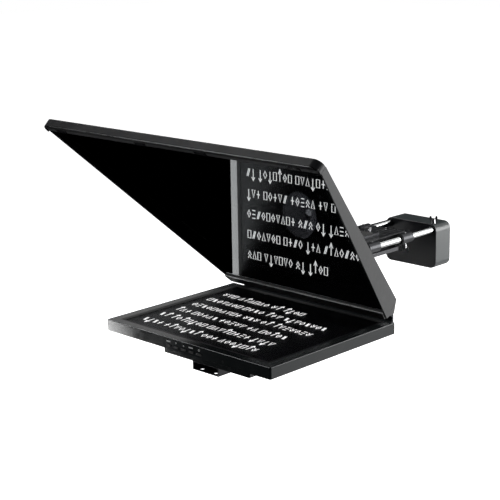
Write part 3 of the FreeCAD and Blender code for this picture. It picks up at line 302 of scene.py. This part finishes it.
MATERIALS = {
    "anodised_black": coated("anodised_black", (0.030, 0.031, 0.035), 0.36, 0.55, wear=0.5,
                             grain=0.0004, depth=0.00002),
    "platform_black": coated("platform_black", (0.020, 0.021, 0.023), 0.36, 0.3, wear=0.8,
                             grain=0.0003, stretch=(1, 0.02, 1), depth=0.00003),
    # painted reflection: the strong dark streaks along the rods stand in for reflected streaks,
    # over the steel's real machining lines
    "rod_steel": bare_metal("rod_steel", (0.52, 0.53, 0.53), 0.16, lines=(1, 0.012, 1),
                            line_scale=500.0, contrast=0.9),
    "fastener_steel": bare_metal("fastener_steel", (0.56, 0.57, 0.58), 0.28, line_scale=1500.0),
    "wing_chrome": bare_metal("wing_chrome", (0.84, 0.84, 0.85), 0.32, line_scale=500.0),
    "black_plastic": coated("black_plastic", (0.017, 0.017, 0.018), 0.42, grain=0.0005),
    "gloss_plastic": coated("gloss_plastic", (0.014, 0.014, 0.016), 0.22, grain=0.0006,
                            depth=0.000015),
    "frame_paint": coated("frame_paint", (0.022, 0.023, 0.024), 0.42, grain=0.0006, wear=0.25,
                          depth=0.00005),
    "monitor_paint": coated("monitor_paint", (0.014, 0.017, 0.018), 0.17, grain=0.0005, wear=0.3,
                            depth=0.00004),
    "shell_black": coated("shell_black", (0.012, 0.012, 0.013), 0.62, grain=0.0011, depth=0.0001),
    "rubber": coated("rubber", (0.016, 0.016, 0.016), 0.75, grain=0.0009, depth=0.00015),
    "fabric": woven("fabric", (0.050, 0.050, 0.052), 0.0009, (0.80, 0.80, 0.82)),
    "splitter_glass": beam_splitter_material(),
    "screen": screen_material(),
    "panel": coated("panel", (0.004, 0.004, 0.005), 0.5, grain=0.0008, depth=0.00001,
                    Specular_IOR_Level=0.04),
    "board": circuit_board("board"),
    "weight_grey": coated("weight_grey", (0.036, 0.043, 0.044), 0.36, grain=0.0005, wear=0.35,
                          depth=0.00004),
    "weight_steel": bare_metal("weight_steel", (0.36, 0.36, 0.37), 0.45, line_scale=800.0),
    "window": coated("window", (0.040, 0.040, 0.042), 0.15, grain=0.001, depth=0.00001),
}

COVER = coated("cover_black", (0.012, 0.013, 0.017), 0.38, grain=0.0005, wear=0.3, depth=0.00004)
OWN_FINISH = {
    "weight_front_cover": COVER,
    "hood_top_rail": coated("rail_paint", (0.006, 0.007, 0.009), 0.42, grain=0.0006, wear=0.25,
                            depth=0.00003, Specular_IOR_Level=0.35),
    "hood_bottom_rail": coated("ledge_paint", (0.020, 0.020, 0.021), 0.40, grain=0.0006, wear=0.3,
                               depth=0.00004),
    "glass_strip": coated("strip_paint", (0.060, 0.062, 0.066), 0.34, grain=0.0005, depth=0.00002),
}

for part in frame["record"]["subparts"]:
    mesh = NODES[part["node"]].data
    mesh.materials.clear()
    mesh.materials.append(OWN_FINISH.get(part["node"], MATERIALS[part["material_slot"]]))


# ---- painted highlight lines, painted shade and softened corners on the CAD nodes -------------


def finish_faces(name, material, wanted):
    """Gives another finish to the faces for which wanted(centre, normal) is true."""
    node = NODES[name]
    turn = node.matrix_world.to_3x3()
    node.data.materials.append(material)
    index = len(node.data.materials) - 1
    for face in node.data.polygons:
        if wanted(node.matrix_world @ face.center, turn @ face.normal):
            face.material_index = index


def paint_edge_light_and_shade():
    """Painted highlight lines: bright metal on the monitor's front top edge and on the front-facing
    middle of the hood rails' rounded edges; painted shade: a darker, duller finish on the bezel's
    sloped top border.
    """
    # painted highlight: bright metal on the fillet faces that face the front-left softbox, so they
    # show as lit lines
    bright = bare_metal("painted_highlight_edge", (0.50, 0.51, 0.52), 0.30)
    low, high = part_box("monitor_bezel")
    finish_faces("monitor_bezel", bright,
                 lambda c, n: c.y < low.y + 0.0012 and n.z > 0.35 and n.y < -0.35)
    # painted highlight on the rails: only the faces of the rounded edges that point straight
    # forward
    for name in ("hood_bottom_rail", "hood_top_rail"):
        finish_faces(name, bright, lambda c, n: n.y < -0.93)
    # painted shade: a darker, less glossy finish on the bezel's sloped top border, standing in for
    # the hood's shadow
    lip = coated("bezel_lip", (0.010, 0.010, 0.011), 0.5, grain=0.0005, Specular_IOR_Level=0.15)
    finish_faces("monitor_bezel", lip, lambda c, n: c.z > high.z - 0.0016 and 0.9 < n.z < 0.995
                 and abs(c.x) < 0.1965)


paint_edge_light_and_shade()


def soften(width, *names):
    """A small rolled edge on hard corners, by modifiers only."""
    for name in names:
        weld = NODES[name].modifiers.new("weld", "WELD")
        weld.merge_threshold = 0.00001
        bevel = NODES[name].modifiers.new("edge", "BEVEL")
        bevel.width = width
        bevel.segments = 2
        bevel.limit_method = "ANGLE"
        bevel.angle_limit = math.radians(38)
        bevel.use_clamp_overlap = True
        shading = NODES[name].modifiers.new("shading", "WEIGHTED_NORMAL")
        shading.weight = 100


soften(0.0006, "monitor_bezel", "hood_side_left", "hood_side_right", "support_channel")


# ---- mesh helpers -----------------------------------------------------------------------------


def new_piece(name, bm, material, body):
    """A mesh object from a bmesh, riding on a body."""
    bmesh.ops.recalc_face_normals(bm, faces=bm.faces)
    mesh = bpy.data.meshes.new(name)
    bm.to_mesh(mesh)
    bm.free()
    mesh.materials.append(material)
    piece = bpy.data.objects.new(name, mesh)
    bpy.context.scene.collection.objects.link(piece)
    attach(piece, body)
    return piece


def slab(bm, outline, low, high):
    """A closed plate: an outline in X and Y between two levels."""
    bottom = [bm.verts.new((x, y, low)) for x, y in outline]
    top = [bm.verts.new((x, y, high)) for x, y in outline]
    count = len(outline)
    bm.faces.new(bottom[::-1])
    bm.faces.new(top)
    for i in range(count):
        j = (i + 1) % count
        bm.faces.new((bottom[i], bottom[j], top[j], top[i]))


def ribbon(bm, path, width, low, high, closed=False):
    """A closed flat band of constant width along a path in X and Y."""
    count = len(path)
    left, right = [], []
    for i, point in enumerate(path):
        if closed:
            before, after = path[i - 1], path[(i + 1) % count]
        else:
            before, after = path[max(i - 1, 0)], path[min(i + 1, count - 1)]
        along = Vector((after[0] - before[0], after[1] - before[1])).normalized()
        side = Vector((-along.y, along.x)) * width / 2
        left.append((point[0] + side.x, point[1] + side.y))
        right.append((point[0] - side.x, point[1] - side.y))
    rows = [[bm.verts.new((x, y, z)) for x, y in edge]
            for edge, z in ((left, low), (right, low), (right, high), (left, high))]
    for i in range(count if closed else count - 1):
        j = (i + 1) % count
        for a in range(4):
            b = (a + 1) % 4
            bm.faces.new((rows[a][i], rows[a][j], rows[b][j], rows[b][i]))
    if not closed:
        bm.faces.new([row[0] for row in rows])
        bm.faces.new([row[-1] for row in rows][::-1])


# ---- placeholder lines on the screen ----------------------------------------------------------

X_HEIGHT = 0.0180
ASCENT = 0.0255
DESCENT = -0.0070
STROKE = 0.0021
MARK_WIDTH = 0.0106
MARK_GAP = 0.0029
WORD_GAP = 0.0062
FILM_LOW, FILM_HIGH = 0.00005, 0.00020
LINE_LEFT = -0.1700
# each line: the Y of its base, and the number of marks in each word
LINES = (
    (-0.4285, (4, 7, 3, 7)), (-0.3855, (2, 7, 8, 4)), (-0.3425, (3, 5, 5, 2, 5)),
    (-0.2995, (10, 3, 2, 7)), (-0.2565, (7, 4, 3, 8)), (-0.2136, (3, 6, 2, 4)),
)


def mark_shapes():
    """Plain geometric signs that are no letters: (open paths, closed paths)."""
    t = STROKE / 2
    r = X_HEIGHT / 2
    w = MARK_WIDTH
    mid = w / 2
    low, high = t, X_HEIGHT - t
    dot = [(mid, r - 0.0009), (mid, r + 0.0009)]
    box = [(t, low), (w - t, low), (w - t, high), (t, high)]
    diamond = [(mid, low), (w - t, r), (mid, high), (t, r)]
    peak = [(t, low), (w - t, low), (mid, high)]
    valley = [(mid, low), (w - t, high), (t, high)]
    bars = [[(t, level), (w - t, level)] for level in (low, r, high)]
    chevrons = [[(t, level), (mid, level + 0.45 * high), (w - t, level)]
                for level in (low, 0.5 * high)]
    slashes = [[(start, low), (start + 0.5 * w, high)] for start in (t, 0.5 * w - t)]
    plus = [[(mid, low), (mid, high)], [(t, r), (w - t, r)]]
    barb = 0.6 * ASCENT
    up = [[(mid, 0.0), (mid, ASCENT)], [(t, barb), (mid, ASCENT), (w - t, barb)]]
    down = [[(mid, DESCENT), (mid, high)], [(t, 0.0), (mid, DESCENT), (w - t, 0.0)]]
    return [
        ([], [box]), ([dot], [diamond]), ([], [diamond]),
        ([], [peak]), ([], [valley]), (bars, []), (chevrons, []), (slashes, []), (plus, []),
        (up, []), (down, []),
    ]


def make_prompt_lines():
    """Lines of plain marks, upside down on the screen so that the glass shows them upright."""
    rng = random.Random(11)
    shapes = mark_shapes()
    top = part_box("screen_glass")[1].z
    bm = bmesh.new()
    for base_y, words in LINES:
        x = LINE_LEFT
        for length in words:
            last = None
            for _ in range(length):
                pick = rng.choice([i for i in range(len(shapes)) if i != last])
                last = pick
                for closed, paths in enumerate(shapes[pick]):
                    for path in paths:
                        points = [(x + px, base_y - py) for px, py in path]
                        ribbon(bm, points, STROKE, top + FILM_LOW, top + FILM_HIGH, bool(closed))
                x += MARK_WIDTH + MARK_GAP
            x += WORD_GAP
    light = glowing("prompt_light", (1.0, 1.0, 1.0), 1.20)
    new_piece("prompt_lines", bm, light, "head")


make_prompt_lines()


# ---- small marks over the buttons -------------------------------------------------------------


PRINT_DEPTH = 0.00015


def make_key_marks():
    """Plain bars, triangles and a power ring over the buttons: no letters."""
    low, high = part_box("monitor_bezel")
    bm = bmesh.new()
    bar = [(-0.0052, -0.0010), (0.0052, -0.0010), (0.0052, 0.0010), (-0.0052, 0.0010)]
    down = [(-0.0016, 0.0014), (0.0016, 0.0014), (0.0, -0.0014)]
    up = [(-0.0016, -0.0014), (0.0016, -0.0014), (0.0, 0.0014)]
    wide_bar = [(x * 1.05, z) for x, z in bar]
    ring_x, ring_radius = 0.040, 0.0017
    angles = [math.radians(110 + 20 * i) for i in range(17)]
    ring = [(ring_x + ring_radius * math.cos(a), ring_radius * math.sin(a)) for a in angles]
    marks = ((-0.041, bar), (-0.0205, down), (-0.0005, up), (0.0185, wide_bar))
    for x, outline in marks:
        slab(bm, [(x + px, pz) for px, pz in outline], -PRINT_DEPTH, 0.0)
    ribbon(bm, ring, 0.0007, -PRINT_DEPTH, 0.0)
    left, right = ring_x - 0.0003, ring_x + 0.0003
    tick = [(left, 0.0004), (right, 0.0004), (right, 0.0022), (left, 0.0022)]
    slab(bm, tick, -PRINT_DEPTH, 0.0)
    place = Matrix.Translation((0, low.y - 0.00002, high.z - 0.0070))
    upright = Matrix.Rotation(math.radians(90), 4, "X")
    bmesh.ops.transform(bm, matrix=place @ upright, verts=bm.verts)
    material = coated("print_white", (0.85, 0.86, 0.87), 0.5, grain=0.0003, depth=0.00001)
    new_piece("key_marks", bm, material, "head")


make_key_marks()


# ---- stretch sleeve round the camera lens -----------------------------------------------------

SLEEVE_WIDE = 0.0452
SLEEVE_NARROW = 0.0090
SLEEVE_LENGTH = 0.0260
SLEEVE_PLEATS = 22
SLEEVE_CLOTH = 0.00035
SLEEVE_PHASE = 0.7


def sleeve_point(ring_centre, turn, along):
    """A point of the cloth: pleats are flat at the ring and deep at the elastic hem."""
    phase = SLEEVE_PHASE
    gather = along ** 1.4
    radius = SLEEVE_WIDE + (SLEEVE_NARROW - SLEEVE_WIDE) * (1 - (1 - along) ** 1.35)
    pleat = math.sin(SLEEVE_PLEATS * turn + 0.5 * math.sin(3 * turn + phase))
    slow = math.sin(5 * turn + phase) * math.sin(math.pi * along)
    radius += 0.0013 * gather * pleat + 0.0010 * slow
    sag = 0.0012 * math.sin(math.pi * along)
    depth = SLEEVE_LENGTH * along + 0.0014 * gather * math.cos(SLEEVE_PLEATS * turn + phase)
    return Vector((radius * math.cos(turn), ring_centre.y + depth,
                   ring_centre.z + radius * math.sin(turn) - sag))


def make_sleeve():
    """Gathered cloth sleeve clamped under the lens ring, with an elastic hem at its mouth."""
    low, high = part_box("lens_ring")
    centre = Vector((0.0, high.y - 0.0022, (low.z + high.z) / 2))
    across, along_count = 416, 26
    bm = bmesh.new()
    rows = []
    for j in range(along_count + 1):
        along = j / along_count
        rows.append([bm.verts.new(sleeve_point(centre, 2 * math.pi * i / across, along))
                     for i in range(across)])
    for lower, upper in zip(rows, rows[1:]):
        for i in range(across):
            k = (i + 1) % across
            bm.faces.new((lower[i], lower[k], upper[k], upper[i]))
    sleeve = new_piece("fabric_sleeve", bm, MATERIALS["fabric"], "hood")
    thick = sleeve.modifiers.new("cloth", "SOLIDIFY")
    thick.thickness = SLEEVE_CLOTH
    thick.offset = 0.0
    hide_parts("lens_sleeve")
    hem = make_hem(centre)


def make_hem(centre):
    """Elastic cord in a rolled hem round the sleeve's mouth."""
    around, section = 208, 10
    bm = bmesh.new()
    angles = [2 * math.pi * k / section for k in range(section)]
    rings = []
    for i in range(around):
        turn = 2 * math.pi * i / around
        middle = sleeve_point(centre, turn, 1.0)
        outward = Vector((math.cos(turn), 0.0, math.sin(turn)))
        pinch = 0.0013 + 0.00025 * math.sin(SLEEVE_PLEATS * turn)
        rings.append([bm.verts.new(middle + pinch * (outward * math.cos(a)
                                                     + Vector((0, math.sin(a), 0))))
                      for a in angles])
    for i in range(around):
        after = rings[(i + 1) % around]
        for k in range(section):
            m = (k + 1) % section
            bm.faces.new((rings[i][k], after[k], after[m], rings[i][m]))
    return new_piece("sleeve_hem", bm, MATERIALS["fabric"], "hood")


make_sleeve()


# ---- floor, light and camera ------------------------------------------------------------------


FLOOR_LEVEL = -0.62
FILL_STRENGTH = 0.15


def make_stage():
    """A white floor far below the part, which lights nothing and shows in no gloss."""
    tree = Tree("floor")
    shader = tree.principled(0.0, Roughness=0.9)
    cloud = tree.noise(1.5, 2.0)
    tree.link(tree.mix(cloud, (0.93, 0.93, 0.93), (0.95, 0.95, 0.95)), shader.inputs["Base Color"])
    shader.inputs["Emission Color"].default_value = (1, 1, 1, 1)
    shader.inputs["Emission Strength"].default_value = 1.0
    bm = bmesh.new()
    bmesh.ops.create_grid(bm, x_segments=8, y_segments=8, size=14.0)
    bmesh.ops.translate(bm, verts=bm.verts, vec=(0, 0, FLOOR_LEVEL))
    mesh = bpy.data.meshes.new("floor")
    bm.to_mesh(mesh)
    bm.free()
    mesh.materials.append(tree.material)
    floor = bpy.data.objects.new("floor", mesh)
    bpy.context.scene.collection.objects.link(floor)
    floor.visible_glossy = False
    floor.visible_diffuse = False


def softbox(name, place, target, size, power):
    """A rectangular light at a place, turned to a target."""
    data = bpy.data.lights.new(name, "AREA")
    data.shape = "RECTANGLE"
    data.size, data.size_y = size
    data.energy = power
    light = bpy.data.objects.new(name, data)
    bpy.context.scene.collection.objects.link(light)
    light.location = place
    aim = Vector(target) - Vector(place)
    light.rotation_euler = aim.to_track_quat("-Z", "Y").to_euler()
    light.visible_camera = False


def make_lights():
    """White backdrop for the camera, a weak fill for diffuse light, and the soft boxes."""
    world = bpy.data.worlds.new("studio")
    world.use_nodes = True
    nodes, links = world.node_tree.nodes, world.node_tree.links
    sky = nodes["Background"]
    ray = nodes.new("ShaderNodeLightPath")
    fill = nodes.new("ShaderNodeMath")
    fill.operation = "MULTIPLY"
    fill.inputs[1].default_value = FILL_STRENGTH
    links.new(ray.outputs["Is Diffuse Ray"], fill.inputs[0])
    level = nodes.new("ShaderNodeMath")
    level.operation = "ADD"
    links.new(ray.outputs["Is Camera Ray"], level.inputs[0])
    links.new(fill.outputs[0], level.inputs[1])
    links.new(level.outputs[0], sky.inputs["Strength"])
    sky.inputs["Color"].default_value = (1, 1, 1, 1)
    bpy.context.scene.world = world
    softbox("right_wall", (1.9, 2.0, 0.3), (0.1, -0.1, 0.0), (1.9, 1.6), 88.0)
    softbox("back_left", (-2.8, 1.1, 1.1), (0.0, -0.4, 0.0), (1.8, 1.2), 3.5)
    softbox("top", (0.4, 0.3, 2.4), (0.0, 0.0, 0.0), (2.0, 1.6), 10.0)
    softbox("left", (-1.9, 0.3, 1.8), (-0.2, -0.3, -0.1), (0.9, 1.4), 40.0)
    softbox("back_high", (0.65, 2.1, 1.5), (0.0, 0.1, 0.0), (1.5, 1.5), 9.0)
    softbox("floor_card", (1.1, 1.5, -0.60), (1.1, 1.5, 1.0), (2.6, 2.6), 20.0)
    softbox("front_left", (-1.56, -2.3, 1.2), (0.0, -0.4, 0.1), (1.0, 1.0), 6.0)
    softbox("left_card", (-0.60, -0.76, -0.25), (0.0, -0.65, -0.15), (0.12, 0.16), 0.75)


CAMERA_PLACE = (1.6783, -2.0280, 0.6668)
CAMERA_TURN = 43.10
CAMERA_RISE = 14.01
CAMERA_ROLL = -0.645
CAMERA_LENS = 94.9
CAMERA_SHIFT = (-0.061, -0.0073)


def make_camera():
    """The camera, by its place and its turn, rise and roll in degrees."""
    turn, rise, roll = (math.radians(v) for v in (CAMERA_TURN, CAMERA_RISE, CAMERA_ROLL))
    right = Vector((math.cos(turn), math.sin(turn), 0.0))
    level = math.cos(rise)
    back = Vector((math.sin(turn) * level, -math.cos(turn) * level, math.sin(rise)))
    up = back.cross(right)
    across = right * math.cos(roll) + up * math.sin(roll)
    upward = up * math.cos(roll) - right * math.sin(roll)
    data = bpy.data.cameras.new("camera")
    data.sensor_width = 36.0
    data.lens = CAMERA_LENS
    data.shift_x, data.shift_y = CAMERA_SHIFT
    data.clip_start = 0.05
    data.clip_end = 60.0
    camera = bpy.data.objects.new("camera", data)
    bpy.context.scene.collection.objects.link(camera)
    columns = Matrix((across, upward, back)).transposed().to_4x4()
    camera.matrix_world = Matrix.Translation(CAMERA_PLACE) @ columns
    bpy.context.scene.camera = camera


make_stage()
make_lights()
make_camera()
bpy.context.scene.view_settings.view_transform = "Standard"
